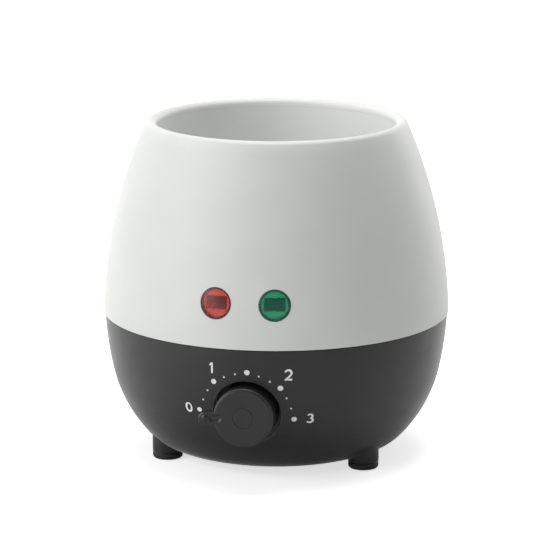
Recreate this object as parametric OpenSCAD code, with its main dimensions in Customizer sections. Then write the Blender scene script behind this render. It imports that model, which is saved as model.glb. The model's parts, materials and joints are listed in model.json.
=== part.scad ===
// Electric sake warmer: a round pot with a water well, one dial and two lamps.
// Millimetres. Z is up from the table, the dial faces -Y.

/* [Body] */
// Largest body diameter
body_d = 171; // [150:1:190]
// Height of the widest place above the table
widest_z = 62.5; // [55:0.5:70]
// Radius of the long curve of the upper shell's side
side_arc = 250; // [200:5:400]
// Height of the joint between shell and base
seam_z = 70.3; // [60:0.1:80]
// Wall of the moulded shells
wall = 2.5; // [2:0.1:4]
// Radius of the rounded lip
lip_r = 2.9; // [1.5:0.1:4]
// Distance from the widest side in to the water well's wall
well_gap = 26.85; // [24:0.05:35]
// Height of the well's floor
well_floor_z = 70; // [60:0.5:80]
// Vessel sheet thickness
vessel_t = 1.2; // [0.8:0.1:2]
// Corner radius at the well's floor
well_corner = 8; // [4:0.5:14]

/* [Base] */
// Radius of the base's upper side curve
base_arc_a = 160; // [120:5:250]
// Radius of the base's lower side curve
base_arc_b = 66; // [50:1:90]
// Radius of the base's bottom edge
base_arc_c = 20.4; // [12:0.2:30]
// Angle below level where the first curve ends
base_turn_a = 12.72; // [8:0.01:20]
// Angle below level where the second curve ends
base_turn_b = 43.8; // [30:0.1:60]
// Height of the base's flat underside above the table
base_lift = 3.94; // [2:0.02:12]
// How far the base's side stands inside the body radius
base_step = 0.67; // [0:0.01:1]

/* [Feet] */
// Leg diameter
leg_d = 15; // [12:0.5:20]
// Legs' distance outside the underside's flat
leg_out = 8.67; // [6:0.01:10]
// Front legs' angle from the front
leg_turn = 57; // [45:1:65]
// Pad height below the legs
pad_h = 3.3; // [1:0.1:4]

/* [Dial] */
// Height of the dial's axis
dial_z = 38.3; // [30:0.1:45]
// Knob diameter
knob_d = 28.6; // [22:0.2:34]
// How far the knob's face stands out from the widest side
knob_out = 3.2; // [1:0.1:10]
// Reach of the pointer from the dial axis
pointer_reach = 21.6; // [18:0.1:22]
// Droop of the pointer below level when off
off_droop = 3.5; // [0:0.5:8]
// Radius of the recess around the knob
dial_well_r = 16.5; // [15.5:0.1:18]
// Depth of the recess floor inside the widest side
dial_depth = 15.5; // [12:0.1:17]

/* [Lamps] */
// Lens diameter
lens_d = 15.2; // [10:0.1:18]
// Height of the lamp centres
lamp_z = 91.7; // [85:0.1:110]
// Angle of each lamp from the front
lamp_turn = 9.65; // [8:0.05:14]

/* [Inside] */
// Distance from the well's wall in to the heater's ring
heater_gap = 18.65; // [14:0.05:24]
// Radius of the heater's tube
heater_r = 3.3; // [3:0.1:4]
// Distance from the heater's ring in to the studs
stud_gap = 8.5; // [8:0.1:9.5]
// Depth of the carrier plate's underside below the well's floor
carrier_drop = 14; // [12.5:0.5:15]
// Height of the cord inlet
gland_z = 48; // [42:1:55]

/* [Hidden] */
$fn = 96;

body_r = body_d / 2;
well_r = body_r - well_gap;
heater_ring = well_r - heater_gap;
stud_ring = heater_ring - stud_gap;
carrier_z = well_floor_z - carrier_drop;
dial_floor = body_r - dial_depth;
knob_face = body_r + knob_out;
lens_r = lens_d / 2;
leg_r = leg_d / 2;
knob_r = knob_d / 2;
pointer_r = 3.2;
// upper side: one arc, then the lip
side_cx = body_r - side_arc;
lip_cx = well_r + lip_r;
lip_turn = acos((lip_cx - side_cx) / (side_arc - lip_r));
lip_cz = widest_z + (side_arc - lip_r) * sin(lip_turn);
seam_turn = asin((seam_z - widest_z) / side_arc);
lip_under = lip_cz - 0.6;
gasket_t = 0.8;
flange_top = lip_under - gasket_t;
flange_r = well_r + lip_r - 0.2;
vessel_out = well_r + vessel_t;
vessel_under = well_floor_z - vessel_t;
// base side: three tangent arcs, stood on the underside
base_arc_z = base_lift + base_arc_c + (base_arc_b - base_arc_c) * sin(base_turn_b)
    + (base_arc_a - base_arc_b) * sin(base_turn_a);
arc_a = [body_r - base_step - base_arc_a, base_arc_z];
arc_b = arc_a + (base_arc_a - base_arc_b) * [cos(base_turn_a), -sin(base_turn_a)];
arc_c = arc_b + (base_arc_b - base_arc_c) * [cos(base_turn_b), -sin(base_turn_b)];
base_under = base_lift;
base_floor = base_under + wall;
joint_gap = 0.25;
base_top = seam_z - joint_gap;
tongue_out = body_r - base_step - 1.23;
tongue_in = tongue_out - 1.3;
tongue_top = seam_z + 3.1;
// lamps
lamp_r = side_cx + sqrt(pow(side_arc, 2) - pow(lamp_z - widest_z, 2));
lamp_tip = asin((lamp_z - widest_z) / side_arc);
lens_seat = 4.2;
lens_flange_r = 9.2;
lens_flange_t = 1.2;
holder_front = lens_seat + lens_flange_t;
lamp_tail = lamp_r - vessel_out - 4;
holder_depth = lamp_tail - holder_front - 2;
holder_wall = 1.5;
lamp_w = 10;
lamp_h = 6.3;
lamp_lift = 0.3;
lamp_screw_y = 13;
lamp_screw_r = 1.3;
// inside stack, from the vessel down
heater_cz = vessel_under - heater_r;
sheet = 1;
nut_t = 3.2;
stud_r = 2;
nut_flats = 7;
carrier_t = 1.2;
carrier_top = carrier_z + carrier_t;
stud_end = carrier_z - 4.5;
bulb_r = 3;
bulb_y = 6;
bulb_z = vessel_under - bulb_r;
strap_t = 0.8;
strap_z = vessel_under - 2 * bulb_r - strap_t;
post_ring = body_r - 15;
post_r = 4;
post_top = seam_z + 33.7;
post_turns = [45, 135, 225, 315];
leg_turns = [-leg_turn, leg_turn, 180];
leg_ring = arc_c[0] + leg_out;
leg_post_r = 4.5;
leg_seat = 11;
leg_bevel = 0.5;
pad_neck_r = 4.15;
heater_ends = [70, 110];
plate_hole_r = stud_ring - 5;
plate_r = well_r - 7.1;
carrier_r = post_ring - 7;
heater_end = carrier_z - 6;
pin_end = heater_end - 6;
bulb_half = plate_hole_r - 8.5;
fuse_half = bulb_half - 4;
// thermostat, distances from the recess floor towards the front
body_back = -29;
body_front = -wall;
body_half = 14;
case_t = 1.5;
bush_r = 5;
spindle_r = 3;
run_gap = 0.05;
spindle_tip = 15;
plunger_r = 1.75;
pivot_y = body_half - 3.8;
pivot_d = -18;
pin_r = 0.8;
contact_y = 4.7 - body_half;
hub_back = 6;
tab_end = body_half + 6;
capsule_y = 3;
contact_a = -22.2;
contact_b = -26.4;
tab_t = 0.8;
face_z = knob_face - dial_floor;
// cord gland
gland_seat = base_side(gland_z) + 0.95;
// terminal block
block_y = arc_c[0] - 15.43;
block_l = 36;
block_w = 14;
block_h = 11;
block_top = base_floor + block_h;
screw_cap = 1.2;

function on_arc(c, r, a) = [c[0] + r * cos(a), c[1] + r * sin(a)];
function arc_pts(c, r, a0, a1, n) = [for (i = [0:n]) on_arc(c, r, a0 + (a1 - a0) * i / n)];
function side_turn(z, d) = asin((z - widest_z) / (side_arc - d));
function side_pts(d, z0, z1, n) =
    arc_pts([side_cx, widest_z], side_arc - d, side_turn(z0, d), side_turn(z1, d), n);
function base_pts(d, z1) = concat(
    arc_pts(arc_c, base_arc_c - d, -90, -base_turn_b, 8),
    [for (i = [1:12]) on_arc(arc_b, base_arc_b - d,
        -base_turn_b + (base_turn_b - base_turn_a) * i / 12)],
    [for (i = [1:8]) on_arc(arc_a, base_arc_a - d,
        -base_turn_a + (base_turn_a + asin((z1 - base_arc_z) / (base_arc_a - d))) * i / 8)]);
function reversed(p) = [for (i = [len(p) - 1:-1:0]) p[i]];
function turned(p, a) = [p[0] * cos(a) - p[1] * sin(a), p[0] * sin(a) + p[1] * cos(a), p[2]];
function outside(a, r, z) = [r * sin(a), -r * cos(a), z];
function lamp_pt(s, x, y, z) = turned([x, y * sin(lamp_tip) - z * cos(lamp_tip) - lamp_r,
    lamp_z + y * cos(lamp_tip) + z * sin(lamp_tip)], s * lamp_turn);

function base_side(z) = arc_a[0] + sqrt(pow(base_arc_a, 2) - pow(z - base_arc_z, 2));
function unit(v) = v / norm(v);
function bent(p, b) = [for (i = [0:len(p) - 1]) each
    i == 0 || i == len(p) - 1 ? [p[i]]
    : [p[i] + b * unit(p[i - 1] - p[i]), p[i] + b * unit(p[i + 1] - p[i])]];
function flow(p) = let(n = len(p) - 1) [for (i = [0:n])
    unit((i < n ? unit(p[i + 1] - p[i]) : [0, 0, 0]) + (i > 0 ? unit(p[i] - p[i - 1]) : [0, 0, 0]))];
function across(t, n, i = 0) = i == len(t) ? []
    : let(m = unit(n - (n * t[i]) * t[i])) concat([m], across(t, m, i + 1));

// ---- helpers ----
module ring(r_in, r_out, h) {
    difference() {
        cylinder(h = h, r = r_out);
        translate([0, 0, -1]) cylinder(h = h + 2, r = r_in);
    }
}

module hex(flats, h, hole) {
    difference() {
        cylinder(h = h, r = flats / sqrt(3), $fn = 6);
        translate([0, 0, -1]) cylinder(h = h + 2, r = hole);
    }
}

module rod(p, q, r) {
    d = q - p;
    len = norm(d);
    translate(p) rotate([0, acos(d[2] / len), atan2(d[1], d[0])]) cylinder(h = len, r = r);
}

// one tube along the route, eight sided, with its corners cut off
module wire(route, r) {
    pts = bent(route, 1.2);
    t = flow(pts);
    m = across(t, cross(t[0], abs(t[0][2]) < 0.9 ? [0, 0, 1] : [0, 1, 0]));
    last = len(pts) - 1;
    polyhedron(
        points = [for (i = [0:last], k = [0:7])
            pts[i] + r * (cos(45 * k + 22.5) * m[i] + sin(45 * k + 22.5) * cross(t[i], m[i]))],
        faces = concat([[for (k = [0:7]) k], [for (k = [7:-1:0]) 8 * last + k]],
            [for (i = [0:last - 1], k = [0:7]) each let(a = 8 * i + k, b = 8 * i + (k + 1) % 8)
                [[a, a + 8, b + 8], [a, b + 8, b]]]));
}

// local Z runs to the front from the recess floor, local Y is up
module at_dial() {
    translate([0, -dial_floor, dial_z]) rotate([90, 0, 0]) children();
}

// local Z leaves the shell at the lamp's place
module at_lamp(s) {
    rotate([0, 0, s * lamp_turn]) translate([0, -lamp_r, lamp_z])
        rotate([90 - lamp_tip, 0, 0]) children();
}

// angle 0 is the front
module around(a, r) {
    rotate([0, 0, a]) translate([0, -r, 0]) children();
}

module upper_inside() {
    rotate_extrude() polygon(concat([[0, carrier_top]], side_pts(1, carrier_top, 150, 14),
        [[0, 150]]));
}

module base_inside() {
    rotate_extrude() polygon(concat([[0, base_under + 1]], base_pts(1, base_top - 1),
        [[0, base_top - 1]]));
}

// ---- upper half ----
module upper_shell() {
    color("white") difference() {
        union() {
            rotate_extrude() polygon(concat(
                [[tongue_out + 0.15, seam_z]],
                [[on_arc([side_cx, widest_z], side_arc, seam_turn)[0] - 0.3, seam_z]],
                side_pts(0, seam_z + 0.3, lip_cz + lip_r * sin(lip_turn), 22),
                [for (i = [1:18]) on_arc([lip_cx, lip_cz], lip_r,
                    lip_turn + (180 - lip_turn) * i / 18)],
                [[well_r, lip_under]],
                reversed(side_pts(wall, tongue_top + 0.4, lip_under, 20)),
                [[tongue_out + 0.15, tongue_top + 0.4]]));
            intersection() {
                union() {
                    for (a = post_turns) {
                        around(a, post_ring) translate([0, 0, carrier_top])
                            cylinder(h = post_top - carrier_top, r = post_r);
                        rotate([0, 0, a]) translate([-1, -body_r, tongue_top + 4])
                            cube([2, body_r - post_ring, post_top - seam_z + 0.3]);
                    }
                    for (s = [-1, 1]) at_lamp(s) {
                        translate([0, 0, -lens_seat]) cylinder(h = lens_seat, r = 10.5);
                        for (y = [-lamp_screw_y, lamp_screw_y])
                            translate([0, y, -holder_front]) cylinder(h = holder_front, r = 3);
                    }
                }
                upper_inside();
            }
        }
        for (s = [-1, 1]) at_lamp(s) {
            translate([0, 0, -lens_seat - 1]) cylinder(h = 10, r = lens_r + run_gap);
            for (y = [-lamp_screw_y, lamp_screw_y])
                translate([0, y, -holder_front - 1]) cylinder(h = 4.6, r = lamp_screw_r);
        }
        for (a = post_turns) around(a, post_ring) translate([0, 0, carrier_top - 1])
            cylinder(h = 16, r = 1.75);
    }
}

module inner_vessel() {
    color("gainsboro") {
        rotate_extrude() polygon(concat(
            [[0, vessel_under]],
            arc_pts([well_r - well_corner, well_floor_z + well_corner],
                well_corner + vessel_t, -90, 0, 12),
            [[vessel_out, flange_top - vessel_t], [flange_r, flange_top - vessel_t],
             [flange_r, flange_top], [well_r, flange_top]],
            reversed(arc_pts([well_r - well_corner, well_floor_z + well_corner],
                well_corner, -90, 0, 12)),
            [[0, well_floor_z]]));
    }
}

module vessel_studs() {
    color("silver") {
        for (a = [0, 120, 240]) around(a, stud_ring) translate([0, 0, stud_end])
            cylinder(h = vessel_under - stud_end, r = stud_r);
        translate([0, 0, strap_z - nut_t - 1.2])
            cylinder(h = vessel_under - strap_z + nut_t + 1.2, r = stud_r);
    }
}

module rim_gasket() {
    color("lightgray") translate([0, 0, flange_top])
        ring(well_r, flange_r, gasket_t);
}

module lens() {
    rotate_extrude() polygon(concat(
        [[0, 0.85], [2.4, 0.8], [4.6, 0.64], [6.2, 0.42], [7, 0.2], [7.4, -0.08],
         [lens_r, -0.45], [lens_r, -lens_seat], [lens_flange_r, -lens_seat],
         [lens_flange_r, -holder_front], [6.4, -holder_front], [6.4, -1.5]],
        [for (i = [5:-1:0]) each [[i + 0.75, -1.5], [i + 0.4, -1.15], [i + 0.2, -1.5]]],
        [[0, -1.5]]));
}

module red_lens() {
    color("red") at_lamp(-1) lens();
}

module green_lens() {
    color("green") at_lamp(1) lens();
}

module lamp() {
    translate([-lamp_w / 2, lamp_lift - lamp_h / 2, holder_wall - holder_front - holder_depth])
        cube([lamp_w, lamp_h, holder_depth + 3 - holder_wall]);
    translate([0, lamp_lift, -lamp_tail])
        cylinder(h = 4, r = 1.2);
}

module red_lamp() {
    color("dimgray") at_lamp(-1) lamp();
}

module green_lamp() {
    color("dimgray") at_lamp(1) lamp();
}

module lamp_holders() {
    color("ivory") for (s = [-1, 1]) at_lamp(s) difference() {
        union() {
            translate([0, 0, -holder_front - holder_depth])
                cylinder(h = holder_depth, r = lens_flange_r);
            translate([-3, -lamp_screw_y, -holder_front - 2])
                cube([6, 2 * lamp_screw_y, 2]);
            for (y = [-lamp_screw_y, lamp_screw_y])
                translate([0, y, -holder_front - 2]) cylinder(h = 2, r = 3);
        }
        translate([0, 0, -holder_front - holder_depth - 1])
            cylinder(h = holder_depth - holder_wall + 1, r = 7.8);
        translate([-lamp_w / 2, lamp_lift - lamp_h / 2, -holder_front - holder_wall - 1])
            cube([lamp_w, lamp_h, holder_wall + 2]);
        for (y = [-lamp_screw_y, lamp_screw_y])
            translate([0, y, -holder_front - 3]) cylinder(h = 4, r = lamp_screw_r + 0.1);
    }
}

module lamp_screws() {
    color("silver") for (s = [-1, 1]) for (y = [-lamp_screw_y, lamp_screw_y])
        at_lamp(s) translate([0, y, -holder_front - 2]) {
            cylinder(h = 4.8, r = lamp_screw_r);
            translate([0, 0, -1.6]) difference() {
                cylinder(h = 1.6, r = 2.4);
                translate([-1.6, -0.3, -0.1]) cube([3.2, 0.6, 0.8]);
                translate([-0.3, -1.6, -0.1]) cube([0.6, 3.2, 0.8]);
            }
        }
}

// ---- heater stack ----
module heater_element() {
    color("dimgray") {
        rotate([0, 0, heater_ends[1]]) rotate_extrude(angle = 360 + heater_ends[0] - heater_ends[1])
            translate([heater_ring, heater_cz]) circle(r = heater_r);
        for (a = heater_ends) rotate([0, 0, a]) translate([heater_ring, 0, 0]) {
            translate([0, 0, heater_cz]) sphere(r = heater_r);
            translate([0, 0, heater_end]) cylinder(h = heater_cz - heater_end, r = heater_r);
            translate([0, 0, pin_end]) cylinder(h = heater_end - pin_end + 1, r = 1.2);
        }
    }
}

module heater_seals() {
    color("linen") for (a = heater_ends) rotate([0, 0, a]) translate([heater_ring, 0, heater_end - 3.5])
        ring(1.2, 3.8, 3.5);
}

module clamp_plate() {
    color("lightsteelblue") difference() {
        rotate_extrude() difference() {
            union() {
                translate([plate_hole_r, vessel_under - sheet])
                    square([plate_r - plate_hole_r, sheet]);
                translate([heater_ring, heater_cz]) circle(r = heater_r + sheet);
                translate([heater_ring - heater_r - sheet, heater_cz])
                    square([2 * (heater_r + sheet), heater_r]);
            }
            translate([heater_ring, heater_cz]) circle(r = heater_r);
            translate([heater_ring - heater_r, heater_cz])
                square([2 * heater_r, heater_r + 2]);
            translate([heater_ring - 6, vessel_under]) square([12, 3]);
        }
        for (a = [0, 120, 240]) around(a, stud_ring) translate([0, 0, vessel_under - 2])
            cylinder(h = 3, r = stud_r + 0.1);
        for (a = heater_ends) rotate([0, 0, a]) translate([heater_ring, 0, heater_cz - 8])
            cylinder(h = 8, r = heater_r + 0.6);
    }
}

module clamp_nuts() {
    color("silver") for (a = [0, 120, 240]) around(a, stud_ring)
        translate([0, 0, vessel_under - sheet - nut_t]) hex(nut_flats, nut_t, stud_r);
}

module plate_spacers() {
    color("silver") for (a = [0, 120, 240]) around(a, stud_ring)
        translate([0, 0, carrier_top])
            ring(stud_r + 0.1, 3.4, vessel_under - sheet - nut_t - carrier_top);
}

module carrier_plate() {
    color("lightsteelblue") difference() {
        translate([0, 0, carrier_z]) union() {
            cylinder(h = carrier_t, r = carrier_r);
            for (a = post_turns) {
                around(a, post_ring) cylinder(h = carrier_t, r = 6);
                rotate([0, 0, a]) translate([-6, -post_ring, 0])
                    cube([12, post_ring - stud_ring, carrier_t]);
            }
        }
        translate([0, 0, carrier_z - 1]) {
            cylinder(h = 4, r = plate_hole_r);
            for (a = post_turns) around(a, post_ring) cylinder(h = 4, r = 1.9);
            for (a = [0, 120, 240]) around(a, stud_ring) cylinder(h = 4, r = stud_r + 0.1);
            for (a = leg_turns) around(a, leg_ring) cylinder(h = 4, r = 2);
            for (a = heater_ends) rotate([0, 0, a]) translate([heater_ring, 0, 0])
                cylinder(h = 4, r = heater_r + 1.2);
        }
    }
}

module carrier_nuts() {
    color("silver") for (a = [0, 120, 240]) around(a, stud_ring)
        translate([0, 0, carrier_z - nut_t]) hex(nut_flats, nut_t, stud_r);
}

module carrier_screws() {
    color("silver") for (a = post_turns) around(a, post_ring) {
        translate([0, 0, carrier_z]) cylinder(h = 14, r = 1.75);
        translate([0, 0, carrier_z - 2.4]) difference() {
            cylinder(h = 2.4, r = 3.6);
            translate([-2.2, -0.4, -0.1]) cube([4.4, 0.8, 1.3]);
            translate([-0.4, -2.2, -0.1]) cube([0.8, 4.4, 1.3]);
        }
    }
}

module thermal_fuse() {
    color("wheat") {
        translate([-fuse_half, bulb_y, bulb_z]) rotate([0, 90, 0])
            cylinder(h = 2 * fuse_half, r = bulb_r);
        translate([-fuse_half - 2, bulb_y, bulb_z]) rotate([0, 90, 0])
            cylinder(h = 2 * fuse_half + 4, r = 0.5);
    }
}

module sensor_strap() {
    color("lightsteelblue") translate([0, 0, strap_z]) difference() {
        translate([-5, -10, 0]) cube([10, 20, strap_t]);
        translate([0, 0, -1]) cylinder(h = 3, r = stud_r + 0.1);
    }
}

module strap_nut() {
    color("silver") translate([0, 0, strap_z - nut_t]) hex(nut_flats, nut_t, stud_r);
}

module capillary_bulb() {
    color("peru") {
        translate([-bulb_half, -bulb_y, bulb_z]) rotate([0, 90, 0])
            cylinder(h = 2 * bulb_half, r = bulb_r);
        wire([[0, capsule_back - 1, dial_z + capsule_y], [0, capsule_back + 7, dial_z + capsule_y],
              [bulb_half + 4, -bulb_y - 10, carrier_z - 10],
              [bulb_half + 6, -bulb_y, carrier_z - 2], [bulb_half + 6, -bulb_y, bulb_z - 1],
              [bulb_half + 4, -bulb_y, bulb_z], [bulb_half - 1, -bulb_y, bulb_z]], 0.8);
        at_dial() translate([0, capsule_y, body_back]) {
            cylinder(h = 3, r = 8);
            cylinder(h = 9.9, r = 1);
        }
    }
}

// ---- thermostat ----
capsule_back = -dial_floor - body_back;

module thermostat_body() {
    color("saddlebrown") at_dial() difference() {
        union() {
            difference() {
                translate([-body_half, -body_half, body_back])
                    cube([2 * body_half, 2 * body_half, body_front - body_back]);
                translate([case_t - body_half, case_t - body_half, body_back - 1])
                    cube([2 * (body_half - case_t), 2 * (body_half - case_t),
                        body_front - body_back - 1]);
            }
            translate([0.5 - body_half, 0.5 - body_half, pivot_d + 2])
                cube([2 * body_half - 1, 2 * body_half - 1, 1.5]);
        }
        translate([0, 0, -10]) cylinder(h = 10, r = bush_r);
        translate([-2.05, -2.05, pivot_d + 1]) cube([4.1, 4.1, 4]);
        translate([-20, pivot_y, pivot_d]) rotate([0, 90, 0]) cylinder(h = 40, r = pin_r);
        for (d = [contact_a, contact_b])
            translate([-3, -tab_end, d]) cube([6, tab_end - body_half + 4, tab_t]);
    }
}

module thermostat_bush() {
    color("goldenrod") at_dial() difference() {
        union() {
            translate([0, 0, -5.5]) cylinder(h = 9.5, r = bush_r);
            translate([0, 0, -6]) cylinder(h = 1.5, r = 7);
        }
        translate([0, 0, -10]) cylinder(h = 20, r = spindle_r + run_gap);
    }
}

module thermostat_cover() {
    color("saddlebrown") at_dial() difference() {
        translate([-body_half, -body_half, body_back - case_t])
            cube([2 * body_half, 2 * body_half, case_t]);
        translate([0, capsule_y, body_back - 3]) cylinder(h = 4, r = 0.9);
    }
}

module thermostat_washer() {
    color("silver") at_dial() ring(bush_r, 8, 0.5);
}

module thermostat_nut() {
    color("goldenrod") at_dial() translate([0, 0, 0.5]) hex(14, 2.5, bush_r);
}

module thermostat_tabs() {
    color("silver") at_dial() {
        translate([-3, -tab_end, contact_a]) cube([6, tab_end - body_half + 8, tab_t]);
        translate([0, contact_y, contact_a + tab_t - 0.1]) cylinder(h = 0.8, r = 1.5);
        translate([-3, -tab_end, contact_b]) cube([6, tab_end - body_half + 6, tab_t]);
    }
}

module spindle() {
    color("silver") at_dial() difference() {
        union() {
            translate([0, 0, -14]) cylinder(h = spindle_tip + 14, r = spindle_r);
            translate([0, 0, -7.05]) cylinder(h = 1, r = 4.5);
        }
        translate([0, 0, -15]) cylinder(h = 7, r = plunger_r + run_gap);
        translate([-4, 1.5, hub_back]) cube([8, 4, 10]);
    }
}

module setting_plunger() {
    color("goldenrod") at_dial() {
        translate([0, 0, -15]) cylinder(h = 6.2, r = plunger_r);
        translate([-2, -2, pivot_d + 1.3]) cube([4, 4, 2.4]);
        translate([0, 0, pivot_d + 0.6]) cylinder(h = 1, r = 1);
    }
}

module contact_lever() {
    color("orange") at_dial() difference() {
        union() {
            translate([-4, contact_y - 2.2, pivot_d - 0.4]) cube([8, pivot_y - contact_y + 2.2, 0.8]);
            translate([-4, pivot_y, pivot_d]) rotate([0, 90, 0]) cylinder(h = 8, r = 1.7);
            translate([0, contact_y, pivot_d - 1.2]) cylinder(h = 1, r = 1.5);
        }
        translate([-6, pivot_y, pivot_d]) rotate([0, 90, 0])
            cylinder(h = 12, r = pin_r + run_gap);
    }
}

module lever_pin() {
    color("silver") at_dial() translate([-body_half, pivot_y, pivot_d]) rotate([0, 90, 0])
        cylinder(h = 2 * body_half, r = pin_r);
}

// shallow finger hollow with round ends, lying along local X
module scoop(x0, x1, r, depth) {
    translate([x0, 0, r - depth]) rotate([0, 90, 0]) rotate_extrude() polygon(concat(
        arc_pts([0, 0], r, -90, 0, 9), arc_pts([0, x1 - x0], r, 0, 90, 9)));
}

// low dome, its foot sunk a little
module pip(r, h) {
    dome_r = (r * r + h * h) / (2 * h);
    rotate_extrude() polygon(concat([[0, -0.5], [r, -0.5]],
        arc_pts([0, h - dome_r], dome_r, acos(r / dome_r), 90, 6)));
}

// round-ended tab with softened edges and a pip near its end
module pointer(low, top) {
    edge = [[pointer_r, low], [pointer_r, top - 0.7], [pointer_r - 0.22, top - 0.25],
        [pointer_r - 0.75, top]];
    translate([-pointer_reach + pointer_r, 0, 0]) {
        rotate_extrude() polygon(concat([[0, low]], edge, [[0, top]]));
        rotate([90, 0, 90]) linear_extrude(pointer_reach - 12)
            polygon(concat(edge, [for (p = reversed(edge)) [-p[0], p[1]]]));
        translate([0.1, 0.3, top]) pip(1.7, 0.6);
    }
}

module knob() {
    color("dimgray") at_dial() difference() {
        union() {
            rotate_extrude() polygon([[0, hub_back], [knob_r - 2, hub_back],
                [knob_r - 2, 1.5], [knob_r, 1.5], [knob_r, face_z - 1.1],
                [knob_r - 0.16, face_z - 0.65], [knob_r - 0.55, face_z - 0.2],
                [knob_r - 1.2, face_z], [0, face_z]]);
            rotate([0, 0, off_droop]) pointer(face_z - 3.5, face_z - 0.3);
        }
        rotate([0, 0, off_droop]) translate([0, 0, face_z - 0.3])
            scoop(-pointer_reach + 2 * pointer_r + 0.5, -knob_r + 2.2, 3, 0.55);
        difference() {
            cylinder(h = 14.5, r = knob_r - 2.2);
            translate([0, 0, hub_back - 1]) cylinder(h = 20, r = 5.5);
        }
        difference() {
            cylinder(h = spindle_tip, r = spindle_r + run_gap);
            translate([-4, 1.9, hub_back]) cube([8, 4, 12]);
        }
        translate([0, 0, face_z - 0.25]) ring(4.6, 5.1, 1);
    }
}

module knob_spring() {
    color("silver") at_dial() translate([-1.5, 1.5, hub_back + 0.5]) cube([3, 0.4, 8]);
}

// ---- lower half ----
module base_shell() {
    color("#303034") difference() {
        union() {
            rotate_extrude() polygon(concat(
                [[0, base_under]],
                base_pts(0, base_top - 0.3),
                [[tongue_out + 0.8, base_top], [tongue_out, base_top], [tongue_out, tongue_top],
                 [tongue_in, tongue_top]],
                reversed(base_pts(wall, base_top)),
                [[0, base_floor]]));
            intersection() {
                at_dial() translate([0, 0, body_front])
                    cylinder(h = 20, r = dial_well_r + 2);
                base_inside();
            }
            for (a = leg_turns) around(a, leg_ring) {
                translate([0, 0, pad_h]) cylinder(h = leg_bevel, r1 = leg_r - leg_bevel, r2 = leg_r);
                translate([0, 0, pad_h + leg_bevel])
                    cylinder(h = 13.4 - pad_h - leg_bevel, r = leg_r);
                translate([0, 0, 12]) cylinder(h = carrier_z - 12, r = leg_post_r);
            }
            translate([0, gland_seat - 6.7, gland_z]) rotate([-90, 0, 0])
                cylinder(h = 6.7, r = 10);
            translate([0, block_y, base_floor - 1]) cylinder(h = 5.5, r = 3.5);
        }
        at_dial() {
            cylinder(h = 30, r = dial_well_r);
            translate([0, 0, body_front - 1]) cylinder(h = 10, r = bush_r + run_gap);
        }
        for (a = leg_turns) around(a, leg_ring) {
            translate([0, 0, -1]) cylinder(h = leg_seat + 1, r = pad_neck_r + run_gap);
            cylinder(h = 70, r = 2.15);
        }
        translate([0, gland_seat, gland_z]) rotate([-90, 0, 0]) {
            translate([0, 0, -13]) cylinder(h = 20, r = 6.05);
            cylinder(h = 10, r = 9);
        }
        translate([0, block_y, base_under + 1]) cylinder(h = 10, r = 1.5);
        for (x = [-24:12:24]) translate([x - 1.5, -28, 0]) cube([3, 34, base_floor + 1]);
    }
}

module foot_pads() {
    color("#202022") for (a = leg_turns) around(a, leg_ring) {
        rotate_extrude() polygon([[0, 0], [leg_r - 1.3, 0], [leg_r - 0.7, 0.2],
            [leg_r - 0.25, 0.7], [leg_r - 0.1, 1.3], [leg_r - 0.1, pad_h - leg_bevel],
            [leg_r - leg_bevel - 0.05, pad_h], [pad_neck_r, pad_h], [pad_neck_r, leg_seat - 5.5],
            [pad_neck_r - 0.55, leg_seat - 4.8], [0, leg_seat - 4.8]]);
    }
}

module base_screws() {
    color("silver") for (a = leg_turns) around(a, leg_ring) {
        translate([0, 0, leg_seat - 1]) cylinder(h = carrier_top + 3.8 - leg_seat, r = 2);
        translate([0, 0, leg_seat - 2.6]) difference() {
            cylinder(h = 2.6, r = 3.7);
            translate([-2.4, -0.5, -0.1]) cube([4.8, 1, 1.5]);
            translate([-0.5, -2.4, -0.1]) cube([1, 4.8, 1.5]);
        }
    }
}

module cord_gland() {
    color("#202022") translate([0, gland_seat, gland_z]) rotate([-90, 0, 0]) difference() {
        rotate_extrude() polygon([[0, -13.2], [6, -13.2], [6, 0], [8.6, 0], [8.6, 1.6],
            [8, 2.2], [6.6, 2.2], [5.7, 4.4], [5.2, 4.8], [0, 4.8]]);
        translate([0, 0, -20]) cylinder(h = 40, r = 3.6);
    }
}

module gland_nut() {
    color("#202022") translate([0, gland_seat - 10.7, gland_z]) rotate([-90, 0, 0])
        hex(16, 4, 6);
}

module terminal_block() {
    color("ivory") difference() {
        translate([-block_l / 2, block_y - block_w / 2, base_floor]) cube([block_l, block_w, block_h]);
        for (x = [-13.5:9:13.5]) for (y = [-3.5, 3.5])
            translate([x, block_y + y, block_top - 6]) cylinder(h = 8, r = 1.3);
        translate([0, block_y, base_floor - 1]) cylinder(h = 30, r = 1.6);
        translate([0, block_y, base_floor - 1]) cylinder(h = 5.5, r = 3.5);
    }
}

module screw_top(x, y) {
    translate([x, y, block_top]) difference() {
        cylinder(h = screw_cap, r = 1.9);
        translate([-2, -0.3, screw_cap - 0.5]) cube([4, 0.6, 1]);
    }
}

module terminal_screws() {
    color("silver") for (x = [-13.5:9:13.5]) for (y = [-3.5, 3.5]) {
        screw_top(x, block_y + y);
        translate([x, block_y + y, block_top - 5]) cylinder(h = 5.2, r = 1.3);
    }
}

module block_screw() {
    color("silver") {
        translate([0, block_y, block_top]) cylinder(h = 1.4, r = 2.1);
        translate([0, block_y, base_under + 1]) cylinder(h = block_top - base_under, r = 1.5);
    }
}

// ---- wiring ----
wire_r = 0.9;
wire_end = block_top + screw_cap;

heater_x = heater_ring * sin(20);
heater_y = heater_ring * cos(20);
fuse_end = fuse_half + 2;
block_front = block_y - 3.5;
block_rear = block_y + 3.5;
tab_y = -dial_floor - (contact_a + contact_b + tab_t) / 2;
tab_step = (contact_a - contact_b) / 2;

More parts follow.
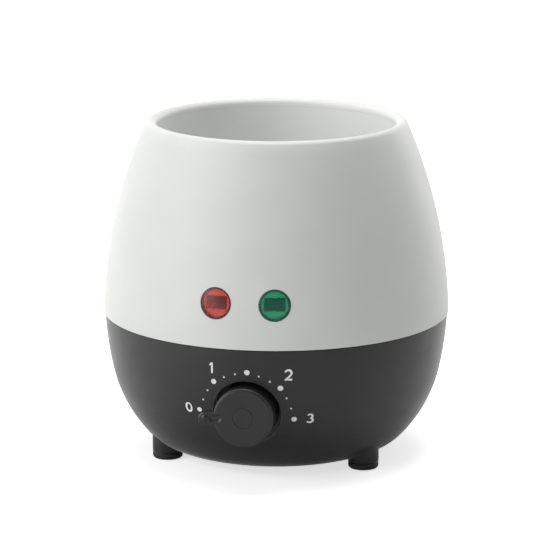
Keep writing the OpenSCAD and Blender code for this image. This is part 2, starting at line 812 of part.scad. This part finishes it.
module heater_leads() {
    color("firebrick") {
        wire([[heater_x, heater_y, pin_end], [heater_x, heater_y, pin_end - 7],
              [fuse_end + 4, 24, pin_end - 5], [fuse_end + 4, 8, pin_end + 3],
              [fuse_end + 4, bulb_y, carrier_z + 6], [fuse_end + 3, bulb_y, bulb_z],
              [fuse_end, bulb_y, bulb_z]], wire_r);
        wire([[-fuse_end, bulb_y, bulb_z], [-fuse_end - 3, bulb_y, bulb_z],
              [-fuse_end - 4, bulb_y, carrier_z + 6], [-fuse_end - 4, 9, pin_end + 2],
              [-13.5, block_y - 10, 28], [-13.5, block_front, 23],
              [-13.5, block_front, wire_end]], wire_r);
        wire([[-heater_x, heater_y, pin_end], [-heater_x, heater_y, 30],
              [-13.5, block_rear, 23], [-13.5, block_rear, wire_end]], wire_r);
    }
}

module thermostat_leads() {
    color("navy") for (s = [-1, 1])
        wire([[0, tab_y - s * tab_step, dial_z - tab_end], [0, tab_y - s * tab_step, 15],
              [s * 4.5, tab_y - s * tab_step, 12], [s * 4.5, -20, 10],
              [s * 4.5, block_y - 14, 10], [s * 4.5, block_y - 9.5, 20],
              [s * 4.5, block_front, 22], [s * 4.5, block_front, wire_end]], wire_r);
}

module lamp_leads() {
    color("gray") {
        wire(concat(lamp_route(-1), [[-28, -20, 20], [-26, block_y - 10, 13],
            [-22, block_y + 9, 15], [-7, block_y + 12, 25], [-4.5, block_rear, 25],
            [-4.5, block_rear, wire_end]]), 1.2);
        wire(concat(lamp_route(1), [[28, -20, 20], [27, block_y - 14, 14],
            [21, block_front, 22], [13.5, block_front, 22], [13.5, block_front, wire_end]]),
            1.2);
    }
}

// from the lamp's tail, down outside the carrier plate and past the thermostat
function lamp_route(s) = [
    lamp_pt(s, 0, lamp_lift, -lamp_tail), lamp_pt(s, 0, lamp_lift, -lamp_tail - 2),
    lamp_pt(s, 0, -12, -lamp_tail - 1.6), outside(s * 17.4, carrier_r + 4, carrier_z + 12),
    outside(s * 21.3, carrier_r + 5.7, carrier_z + 2), [s * 27, -dial_floor + 20, 44]];

upper_shell();
inner_vessel();
vessel_studs();
rim_gasket();
base_shell();
foot_pads();
knob();
knob_spring();
spindle();
setting_plunger();
contact_lever();
lever_pin();
thermostat_body();
thermostat_bush();
thermostat_cover();
thermostat_washer();
thermostat_nut();
thermostat_tabs();
capillary_bulb();
red_lens();
green_lens();
red_lamp();
green_lamp();
lamp_holders();
lamp_screws();
heater_element();
heater_seals();
clamp_plate();
clamp_nuts();
plate_spacers();
carrier_plate();
carrier_nuts();
carrier_screws();
thermal_fuse();
sensor_strap();
strap_nut();
cord_gland();
gland_nut();
terminal_block();
terminal_screws();
block_screw();
heater_leads();
thermostat_leads();
lamp_leads();
base_screws();
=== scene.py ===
import json
from math import asin, atan2, cos, pi, radians, sin, sqrt

import bmesh
import bpy
from mathutils import Matrix, Vector


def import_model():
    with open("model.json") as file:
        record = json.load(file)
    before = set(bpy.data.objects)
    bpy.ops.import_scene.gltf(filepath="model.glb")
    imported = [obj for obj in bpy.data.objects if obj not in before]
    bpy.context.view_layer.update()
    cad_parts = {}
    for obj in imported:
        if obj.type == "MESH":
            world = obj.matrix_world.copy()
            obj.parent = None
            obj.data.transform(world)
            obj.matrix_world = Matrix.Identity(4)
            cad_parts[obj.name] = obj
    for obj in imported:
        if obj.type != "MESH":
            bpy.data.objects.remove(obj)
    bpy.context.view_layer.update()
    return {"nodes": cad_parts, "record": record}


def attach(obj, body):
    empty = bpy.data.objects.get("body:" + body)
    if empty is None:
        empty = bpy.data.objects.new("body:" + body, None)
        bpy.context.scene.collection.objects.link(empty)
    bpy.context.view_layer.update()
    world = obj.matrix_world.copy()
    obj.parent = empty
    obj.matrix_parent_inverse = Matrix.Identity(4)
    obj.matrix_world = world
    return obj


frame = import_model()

MM = 0.001
PHOTO_PX = 550

# ---- the part's own measures, in millimetres, the same as in part.scad ----
BODY_R, WIDEST_Z, SIDE_ARC = 85.5, 62.5, 250
SEAM_Z = 70.3
BASE_R, BASE_WIDEST_Z = 84.83, 76.6
ARC_A, ARC_B, ARC_C = 160, 66, 20.4
TURN_A, TURN_B = radians(12.72), radians(43.8)
CEN_A = (BASE_R - ARC_A, BASE_WIDEST_Z)
CEN_B = (CEN_A[0] + (ARC_A - ARC_B) * cos(TURN_A), CEN_A[1] - (ARC_A - ARC_B) * sin(TURN_A))
CEN_C = (CEN_B[0] + (ARC_B - ARC_C) * cos(TURN_B), CEN_B[1] - (ARC_B - ARC_C) * sin(TURN_B))
DIAL_Z = 38.3
LAMP_Z, LAMP_TURN = 91.7, radians(9.65)
LAMP_TIP = asin((LAMP_Z - WIDEST_Z) / SIDE_ARC)


def side_r(z):
    """Radius of the body's outer surface at a height."""
    if z >= SEAM_Z:
        return BODY_R - SIDE_ARC + sqrt(SIDE_ARC ** 2 - (z - WIDEST_Z) ** 2)
    if z >= CEN_A[1] - ARC_A * sin(TURN_A):
        return CEN_A[0] + sqrt(ARC_A ** 2 - (z - CEN_A[1]) ** 2)
    if z >= CEN_B[1] - ARC_B * sin(TURN_B):
        return CEN_B[0] + sqrt(ARC_B ** 2 - (z - CEN_B[1]) ** 2)
    return CEN_C[0] + sqrt(max(0, ARC_C ** 2 - (z - CEN_C[1]) ** 2))


# ---- placing things in the scene ----
def put(obj):
    bpy.context.scene.collection.objects.link(obj)
    return obj


def facing(where, aim):
    """The rotation of a camera or lamp that stands at one point and looks at another."""
    return (Vector(aim) - Vector(where)).to_track_quat("-Z", "Y").to_euler()


# ---- camera, in metres, at the photograph's place; lens and sensor in millimetres ----
CAM_PLACE, CAM_AIM = (0.2331, -1.2956, 0.3966), (0, 0, 0.0867)
CAM_LENS, CAM_SENSOR, CAM_SHIFT_PX = 178.86, 36, -1.4

cam_data = bpy.data.cameras.new("camera")
cam_data.lens = CAM_LENS
cam_data.sensor_width = CAM_SENSOR
cam_data.shift_x = CAM_SHIFT_PX / PHOTO_PX
cam_data.clip_start = 0.05
cam_data.clip_end = 40
cam = put(bpy.data.objects.new("camera", cam_data))
cam.location = CAM_PLACE
cam.rotation_euler = facing(CAM_PLACE, CAM_AIM)
bpy.context.scene.camera = cam
bpy.context.scene.view_settings.view_transform = "Standard"


# ---- materials, with their measures in millimetres ----
BODY_CLOUD = 22
# where painted light makes the shell whiter, for the lip that lies in shade: from whole to none
# over these radii, and up to a share near the top
LIP_R, LIP_Z, LIP_LIGHT_SHARE = (59.2, 61.5), (159.5, 163.8), 0.3
# where painted light makes the base greyer, for the dial's well that lies in shade: round the
# dial's axis, and in front of the middle only
WELL_R, WELL_Y = (16.55, 16.65), (-60, -50)


def srgb(*screen):
    """Linear colour from 0-255 screen values."""
    def linear(c):
        return c / 12.92 if c <= 0.04045 else ((c + 0.055) / 1.055) ** 2.4

    return (*(linear(c / 255) for c in screen), 1)


class Nodes:
    """A node tree with small helpers; where one takes a value, an output does as well."""

    def __init__(self, tree):
        self.t = tree

    def node(self, kind, **props):
        n = self.t.nodes.new(kind)
        for key, value in props.items():
            setattr(n, key, value)
        return n

    def feed(self, value, socket):
        if isinstance(value, bpy.types.NodeSocket):
            self.t.links.new(value, socket)
        else:
            socket.default_value = value

    def math(self, operation, *values):
        n = self.node("ShaderNodeMath", operation=operation)
        for value, socket in zip(values, n.inputs):
            self.feed(value, socket)
        return n.outputs[0]

    def mix(self, fac, a, b, kind="RGBA"):
        n = self.node("ShaderNodeMix", data_type=kind)
        for key, value in (("Factor", fac), ("A", a), ("B", b)):
            self.feed(value, n.inputs[key])
        return n.outputs["Result"]

    def spread(self, fac, lo, hi, a=0.3, b=0.7, curve="LINEAR"):
        """Runs from lo to hi while fac runs from a to b, the middle band of a noise."""
        n = self.node("ShaderNodeMapRange", interpolation_type=curve)
        for key, value in (("Value", fac), ("From Min", a), ("From Max", b),
                           ("To Min", lo), ("To Max", hi)):
            self.feed(value, n.inputs[key])
        return n.outputs["Result"]

    def within(self, length, near, far):
        """1 where a length in metres is below near, 0 above far, both in millimetres."""
        return self.spread(length, 1.0, 0.0, near * MM, far * MM)

    def axes(self, place):
        n = self.node("ShaderNodeSeparateXYZ")
        self.feed(place, n.inputs[0])
        return n.outputs

    def distance(self, place, counted, start=(0, 0, 0)):
        """Distance from start, over the axes where counted is 1."""
        away = self.node("ShaderNodeVectorMath", operation="MULTIPLY_ADD")
        for value, socket in zip((place, counted, [-v for v in start]), away.inputs):
            self.feed(value, socket)
        n = self.node("ShaderNodeVectorMath", operation="LENGTH")
        self.feed(away.outputs["Vector"], n.inputs[0])
        return n.outputs["Value"]


class Mat(Nodes):
    """A Principled material; its noises lie in the object's own coordinates."""

    def __init__(self, name, **values):
        self.m = bpy.data.materials.new(name)
        self.m.use_nodes = True
        super().__init__(self.m.node_tree)
        self.bsdf = self.t.nodes["Principled BSDF"]
        for key, value in values.items():
            self.bsdf.inputs[key.replace("_", " ")].default_value = value
        self.co = self.node("ShaderNodeTexCoord").outputs["Object"]

    def noise(self, size_mm, detail):
        n = self.node("ShaderNodeTexNoise")
        for key, value in (("Vector", self.co), ("Scale", 1 / MM / size_mm),
                           ("Detail", detail), ("Roughness", 0.5)):
            self.feed(value, n.inputs[key])
        return n.outputs["Fac"]

    def clouds(self, a, b, size_mm, detail):
        """Two close shades in soft clouds."""
        return self.mix(self.spread(self.noise(size_mm, detail), 0, 1), a, b)

    def surface(self, colour, roughness, height, depth_mm):
        n = self.node("ShaderNodeBump")
        n.inputs["Distance"].default_value = depth_mm * MM
        n.inputs["Strength"].default_value = 1
        self.feed(height, n.inputs["Height"])
        self.feed(colour, self.bsdf.inputs["Base Color"])
        self.feed(roughness, self.bsdf.inputs["Roughness"])
        self.feed(n.outputs["Normal"], self.bsdf.inputs["Normal"])
        return self.m


def plastic_skin(m, colour, rough, grain, depth, cloud):
    """A gloss that varies in clouds, and the fine grain of a spark-eroded mould."""
    gloss = m.spread(m.noise(cloud * 0.4, 4), rough - 0.03, rough + 0.03)
    return m.surface(colour, gloss, m.noise(grain, 2), depth)


def moulded(name, a, b, rough, grain=0.35, depth=0.004, cloud=BODY_CLOUD):
    m = Mat(name)
    return plastic_skin(m, m.clouds(a, b, cloud, 3), rough, grain, depth, cloud)


def metal(name, a, b, rough, grain=0.6, depth=0.002):
    m = Mat(name, Metallic=1.0)
    gloss = m.spread(m.noise(3, 5), rough - 0.06, rough + 0.08)
    return m.surface(m.clouds(a, b, 5, 4), gloss, m.noise(grain, 3), depth)


def shell_plastic(name, a, b, lip_light):
    """White moulded plastic with painted light: a little whiter near the lip's top and most on its
    shaded turned-in side.
    """
    m = Mat(name)
    turned_in = m.within(m.distance(m.co, (1, 1, 0)), *LIP_R)
    near_top = m.spread(m.axes(m.co)["Z"], 0.0, LIP_LIGHT_SHARE, LIP_Z[0] * MM, LIP_Z[1] * MM)
    # painted light: the shaded turned-in side and top of the lip are mixed towards a whiter colour
    colour = m.mix(m.math("MAXIMUM", turned_in, near_top), m.clouds(a, b, BODY_CLOUD, 3), lip_light)
    return plastic_skin(m, colour, 0.48, 0.3, 0.003, BODY_CLOUD)


def base_plastic(name, a, b, well):
    """Black moulded plastic with a soft sheen at its edges; painted light makes the dial's shaded
    well greyer.
    """
    m = Mat(name, Sheen_Weight=0.6, Sheen_Roughness=0.26)
    well_painted_light = m.within(m.distance(m.co, (1, 0, 1), (0, 0, DIAL_Z * MM)), *WELL_R)
    at_front = m.within(m.axes(m.co)["Y"], *WELL_Y)
    # painted light: the shaded dial well is mixed towards a greyer colour
    colour = m.mix(m.math("MULTIPLY", well_painted_light, at_front), m.clouds(a, b, BODY_CLOUD, 3), well)
    return plastic_skin(m, colour, 0.41, 0.3, 0.004, BODY_CLOUD)


def lens_plastic(name, a, b):
    """Clear coloured plastic: tinted, with a faint swirl of the melt."""
    m = Mat(name, IOR=1.14, Transmission_Weight=0.94, Coat_Weight=0.4, Coat_Roughness=0.25)
    gloss = m.spread(m.noise(2.5, 3), 0.06, 0.12)
    return m.surface(m.clouds(a, b, 5, 3), gloss, m.noise(1.4, 2), 0.004)


# function, slot, two shades, and what else it takes: roughness, then grain, depth and cloud size
MATS = {slot: make(slot, srgb(*a), srgb(*b), *rest) for make, slot, a, b, *rest in (
    (moulded, "well_coating", (238, 239, 237), (235, 236, 234), 0.55, 0.5, 0.005),
    (moulded, "silicone", (234, 234, 230), (230, 230, 226), 0.6),
    (moulded, "knob_black", (32, 31, 33), (29, 28, 30), 0.35, 0.3, 0.004),
    (moulded, "rubber_black", (38, 37, 39), (33, 32, 34), 0.62, 0.8, 0.01),
    (metal, "steel", (178, 178, 180), (156, 156, 158), 0.3),
    (metal, "plate_steel", (172, 174, 176), (140, 142, 146), 0.42, 2.5, 0.004),
    (metal, "heater_steel", (98, 92, 88), (74, 68, 70), 0.45),
    (metal, "brass", (196, 164, 96), (176, 142, 76), 0.3),
    (metal, "tab_brass", (200, 170, 104), (184, 150, 84), 0.32),
    (metal, "copper", (188, 120, 88), (160, 92, 66), 0.35),
    (moulded, "phenolic", (70, 44, 32), (54, 34, 26), 0.35, 0.5, 0.004, 4),
    (moulded, "lamp_dark", (40, 34, 34), (30, 26, 26), 0.3, 1.2, 0.02, 2),
    (moulded, "holder_white", (238, 237, 232), (230, 228, 222), 0.5, 0.6, 0.004, 6),
    (moulded, "ceramic", (236, 232, 220), (222, 218, 206), 0.55, 0.5, 0.006, 3),
    (moulded, "block_ivory", (228, 218, 192), (218, 206, 178), 0.45, 0.4, 0.004, 5),
    (moulded, "wire_red", (150, 34, 30), (132, 28, 26), 0.5, 0.8, 0.01, 3),
    (moulded, "wire_blue", (38, 54, 130), (30, 44, 112), 0.5, 0.8, 0.01, 3),
    (moulded, "wire_grey", (126, 126, 126), (108, 108, 110), 0.5, 0.8, 0.01, 3),
    (moulded, "print_white", (240, 240, 240), (228, 228, 230), 0.55, 0.3, 0.004, 1.5),
    # shell_white's last colour is painted light, a whiter lip where the lip lies in shade
    (shell_plastic, "shell_white", (221, 223, 220), (218, 220, 217), srgb(240, 241, 239)),
    # base_black's last colour is painted light, a greyer dial well where the well lies in shade
    (base_plastic, "base_black", (28, 27, 30), (25, 24, 27), srgb(84, 82, 84)),
    (lens_plastic, "lens_red", (240, 150, 148), (236, 141, 139)),
    (lens_plastic, "lens_green", (128, 222, 192), (118, 216, 184)),
)}

slot_of = {name: row["slot"] for row in frame["record"]["materials"]
           for name in row.get("nodes", [])}
for name, obj in frame["nodes"].items():
    slot = slot_of.get(name)
    if slot is None and obj.data.materials:
        slot = obj.data.materials[0].name.split(".")[0]
    if slot in MATS:
        obj.data.materials.clear()
        obj.data.materials.append(MATS[slot])
    else:
        print("no material for", name, slot)
    for p in obj.data.polygons:
        p.use_smooth = True


# ---- meshes of the scene's own pieces ----
def add(name, bm, body, slot):
    mesh = bpy.data.meshes.new(name)
    bmesh.ops.recalc_face_normals(bm, faces=bm.faces)
    bm.to_mesh(mesh)
    bm.free()
    obj = put(bpy.data.objects.new(name, mesh))
    mesh.materials.append(MATS[slot])
    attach(obj, body)


def skin(bm, rings):
    """Faces between each ring of vertices and the next."""
    for p, q in zip(rings, rings[1:]):
        n = len(p)
        for k in range(n):
            bm.faces.new((p[k], p[(k + 1) % n], q[(k + 1) % n], q[k]))


def circle(n):
    return [2 * pi * k / n for k in range(n)]


# ---- printed dial marks: thin ink solids lying on the base, in millimetres ----
INK_PROUD, INK_SUNK = 0.05, -0.05
BRUSH, SWELL = 1.25, 0.1
SLOPE_STEP = 0.05
DOT_SIDES = 24
DOT_COUNT, DOT_STEP, DOT_START, BIG_EVERY = 13, 15, 176.6, 3
DOT_CENTRE = (-0.3, 36.8)
# how far from that centre, and radius; the first one makes room for the knob's tab
SMALL_DOT, BIG_DOT, FIRST_DOT = (21.8, 0.44), (22.5, 1.32), (22.9, 1.2)


def slope_at(z):
    """How fast the body's radius grows with the height."""
    return (side_r(z + SLOPE_STEP) - side_r(z - SLOPE_STEP)) / (2 * SLOPE_STEP)


def on_side(x, z, du, dv, lift):
    """A point on the front of the body, du sideways and dv upwards along the surface."""
    z2 = z + dv / sqrt(1 + slope_at(z) ** 2)
    r, slope = side_r(z2), slope_at(z2)
    n = sqrt(1 + slope * slope)
    turn = asin(x / side_r(z)) + du / r
    r, z2 = r + lift / n, z2 - lift * slope / n
    return Vector((r * sin(turn), -r * cos(turn), z2)) * MM


def stroke(bm, x, z, middle):
    """One brush stroke; middle holds (du, dv, half width) from point to point."""
    rims = []
    for i, (u, v, w) in enumerate(middle):
        a, b = middle[max(i - 1, 0)], middle[min(i + 1, len(middle) - 1)]
        du, dv = b[0] - a[0], b[1] - a[1]
        n = sqrt(du * du + dv * dv)
        rims.append([bm.verts.new(on_side(x, z, u + s * -dv / n * w, v + s * du / n * w, h))
                     for s, h in ((-1, INK_PROUD), (1, INK_PROUD), (1, INK_SUNK), (-1, INK_SUNK))])
    skin(bm, rims)
    bm.faces.new(rims[0])
    bm.faces.new(rims[-1])


def dot(bm, x, z, r):
    top, bottom = ([bm.verts.new(on_side(x, z, r * cos(a), r * sin(a), h))
                    for a in circle(DOT_SIDES)] for h in (INK_PROUD, INK_SUNK))
    bm.faces.new(top)
    bm.faces.new(bottom[::-1])
    skin(bm, [top, bottom])


def arc(cx, cy, rx, ry, a0, a1, n, w0, w1):
    """A curved brush line whose half width runs from w0 to w1 and swells in the middle."""
    out = []
    for i in range(n + 1):
        t = i / n
        a = radians(a0 + (a1 - a0) * t)
        out.append((cx + rx * cos(a), cy + ry * sin(a),
                    w0 + (w1 - w0) * t + SWELL * sin(pi * t)))
    return out


def line(x0, y0, x1, y1, n, w0, w1, bow):
    """A nearly straight brush line, bowed sideways by that share of its length."""
    out = []
    for i in range(n + 1):
        t = i / n
        out.append((x0 + (x1 - x0) * t - bow * sin(pi * t) * (y1 - y0),
                    y0 + (y1 - y0) * t + bow * sin(pi * t) * (x1 - x0), w0 + (w1 - w0) * t))
    return out


DIGITS = (
    [arc(0, 0, 1.35, 2.1, 100, 465, 28, 0.34, 0.22)],
    [line(-0.95, 1.15, 0.1, 2.15, 6, 0.16, 0.3, 0.06),
     line(0.05, 2.3, 0.0, -2.3, 12, 0.36, 0.28, 0.02)],
    [arc(0, 0.95, 1.3, 1.25, 165, -35, 16, 0.24, 0.34),
     line(1.05, 0.2, -1.4, -2.0, 10, 0.32, 0.22, 0.05),
     line(-1.5, -2.05, 1.6, -2.0, 8, 0.24, 0.38, 0.05)],
    [arc(-0.1, 1.1, 1.2, 1.05, 150, -80, 16, 0.22, 0.3),
     arc(-0.1, -1.0, 1.4, 1.15, 85, -150, 18, 0.28, 0.24)],
)
# x, z and size of the numbers 0 to 3
DIGIT_PLACES = ((-28.6, 38.6, 1.05), (-16.0, 60.4, 1.15), (20.3, 58.2, 1.15), (29.4, 35.6, 1.05))

bm = bmesh.new()
for k in range(DOT_COUNT):
    turn = radians(DOT_START - DOT_STEP * k)
    reach, size = SMALL_DOT if k % BIG_EVERY else BIG_DOT if k else FIRST_DOT
    dot(bm, DOT_CENTRE[0] + reach * cos(turn), DOT_CENTRE[1] + reach * sin(turn), size)
add("dial_dots", bm, "pot", "print_white")
bm = bmesh.new()
for digit, (x, z, size) in zip(DIGITS, DIGIT_PLACES):
    for middle in digit:
        stroke(bm, x, z, [(u * size, v * size, w * size * BRUSH) for u, v, w in middle])
add("dial_numbers", bm, "pot", "print_white")

# ---- white bezels of the lamp holders, close behind the windows, in millimetres ----
BEZEL_R, BEZEL_FRONT, BEZEL_BACK = 6.3, -1.7, -2.1
BEZEL_SIDES = 48
GAP_HALF_W, GAP_HALF_H, GAP_LIFT = 5.05, 3.2, 0.3
TINY = 1e-6


def bezel(bm, side):
    """A flat ring with an oblong opening, so its points lie on a circle and on the oblong."""
    place = (Matrix.Rotation(side * LAMP_TURN, 4, "Z")
             @ Matrix.Translation((0, -side_r(LAMP_Z), LAMP_Z))
             @ Matrix.Rotation(pi / 2 - LAMP_TIP, 4, "X"))
    corners = [atan2(v, u) % (2 * pi) for u in (-GAP_HALF_W, GAP_HALF_W)
               for v in (-GAP_HALF_H, GAP_HALF_H)]
    rims = []
    for a in sorted(circle(BEZEL_SIDES) + corners):
        reach = min(GAP_HALF_W / max(abs(cos(a)), TINY), GAP_HALF_H / max(abs(sin(a)), TINY))
        inner = (reach * cos(a), GAP_LIFT + reach * sin(a))
        outer = (BEZEL_R * cos(a), BEZEL_R * sin(a))
        rims.append([bm.verts.new(place @ Vector((*point, depth)) * MM) for point, depth in
                     ((inner, BEZEL_FRONT), (outer, BEZEL_FRONT),
                      (outer, BEZEL_BACK), (inner, BEZEL_BACK))])
    skin(bm, rims + rims[:1])


bm = bmesh.new()
for side in (-1, 1):
    bezel(bm, side)
add("lamp_bezels", bm, "pot", "holder_white")

# ---- studio, in metres and watts ----
FLOOR_HALF, FLOOR_GREY, FLOOR_ROUGH, FLOOR_GLOW = 4, 0.86, 0.8, 0.66
# how bright gloss and lenses see the floor, and between which places that changes
FLOOR_BACK, FLOOR_BACK_Y = (0.0, 0.6), (-0.1, 0.4)
FLOOR_LEFT, FLOOR_LEFT_X = (0.8, 0.0), (-0.7, -0.06)
# the world's strength in front and behind, and between which directions that changes, first as
# gloss and lenses see it, where it leans to the left, and then as it lights the object
SHOWN, SHOWN_Y, SHOWN_LEAN = (0.17, 1.28), (-0.85, 0.05), -0.3
LIGHT, LIGHT_Y = (0.155, 0.47), (-0.6, 0.8)


def floor():
    """A pale floor, white to the camera; gloss and lenses see it bright behind and on the left."""
    bm = bmesh.new()
    bmesh.ops.create_grid(bm, x_segments=8, y_segments=8, size=FLOOR_HALF)
    mesh = bpy.data.meshes.new("floor")
    bm.to_mesh(mesh)
    bm.free()
    obj = put(bpy.data.objects.new("floor", mesh))
    m = Mat("floor_white")
    m.bsdf.inputs["Base Color"].default_value = (FLOOR_GREY, FLOOR_GREY, FLOOR_GREY, 1)
    m.bsdf.inputs["Roughness"].default_value = FLOOR_ROUGH
    ray = m.node("ShaderNodeLightPath").outputs
    axes = m.axes(m.co)
    far_left = m.math("ADD", m.spread(axes["Y"], *FLOOR_BACK, *FLOOR_BACK_Y),
                      m.spread(axes["X"], *FLOOR_LEFT, *FLOOR_LEFT_X))
    reflected = m.math("MAXIMUM", ray["Is Glossy Ray"], ray["Is Transmission Ray"])
    mirrored = m.math("MULTIPLY", reflected, far_left)
    glow = m.node("ShaderNodeEmission")
    m.feed(m.math("MULTIPLY_ADD", ray["Is Camera Ray"], FLOOR_GLOW, mirrored),
           glow.inputs["Strength"])
    both = m.node("ShaderNodeAddShader")
    m.feed(m.bsdf.outputs[0], both.inputs[0])
    m.feed(glow.outputs[0], both.inputs[1])
    m.feed(both.outputs[0], m.t.nodes["Material Output"].inputs["Surface"])
    mesh.materials.append(m.m)


def world():
    """White to the camera; for the rest a studio, dim in front and bright behind."""
    w = bpy.data.worlds.new("world")
    bpy.context.scene.world = w
    w.use_nodes = True
    n = Nodes(w.node_tree)
    back = n.t.nodes["Background"]
    back.inputs["Color"].default_value = (1, 1, 1, 1)
    ray = n.node("ShaderNodeLightPath").outputs
    axes = n.axes(n.node("ShaderNodeTexCoord").outputs["Generated"])
    leant = n.math("MULTIPLY_ADD", axes["X"], SHOWN_LEAN, axes["Y"])
    shown = n.spread(leant, *SHOWN, *SHOWN_Y, "SMOOTHSTEP")
    out = n.spread(axes["Y"], *LIGHT, *LIGHT_Y, "SMOOTHSTEP")
    for kind, strength in (("Is Glossy Ray", shown), ("Is Transmission Ray", shown),
                           ("Is Camera Ray", 1.0)):
        out = n.mix(ray[kind], out, strength, "FLOAT")
    n.feed(out, back.inputs["Strength"])


def lamp(name, where, aim, size, watts):
    data = bpy.data.lights.new(name, "AREA")
    data.shape = "RECTANGLE"
    data.size, data.size_y = size
    data.energy = watts
    obj = put(bpy.data.objects.new(name, data))
    obj.location = where
    obj.rotation_euler = facing(where, aim)


floor()
world()
lamp("key", (-1.6, -1.4, 0.85), (0, 0, 0.08), (1.6, 1.6), 27.5)
lamp("top", (0.0, 0.25, 1.8), (0, 0, 0.1), (1.2, 1.2), 20)
lamp("rear_right", (1.0, 1.5, 0.5), (0, 0, 0.08), (0.6, 1.2), 5)
lamp("rear_left", (-1.5, 0.9, 0.5), (0, 0, 0.08), (0.6, 1.2), 0.8)
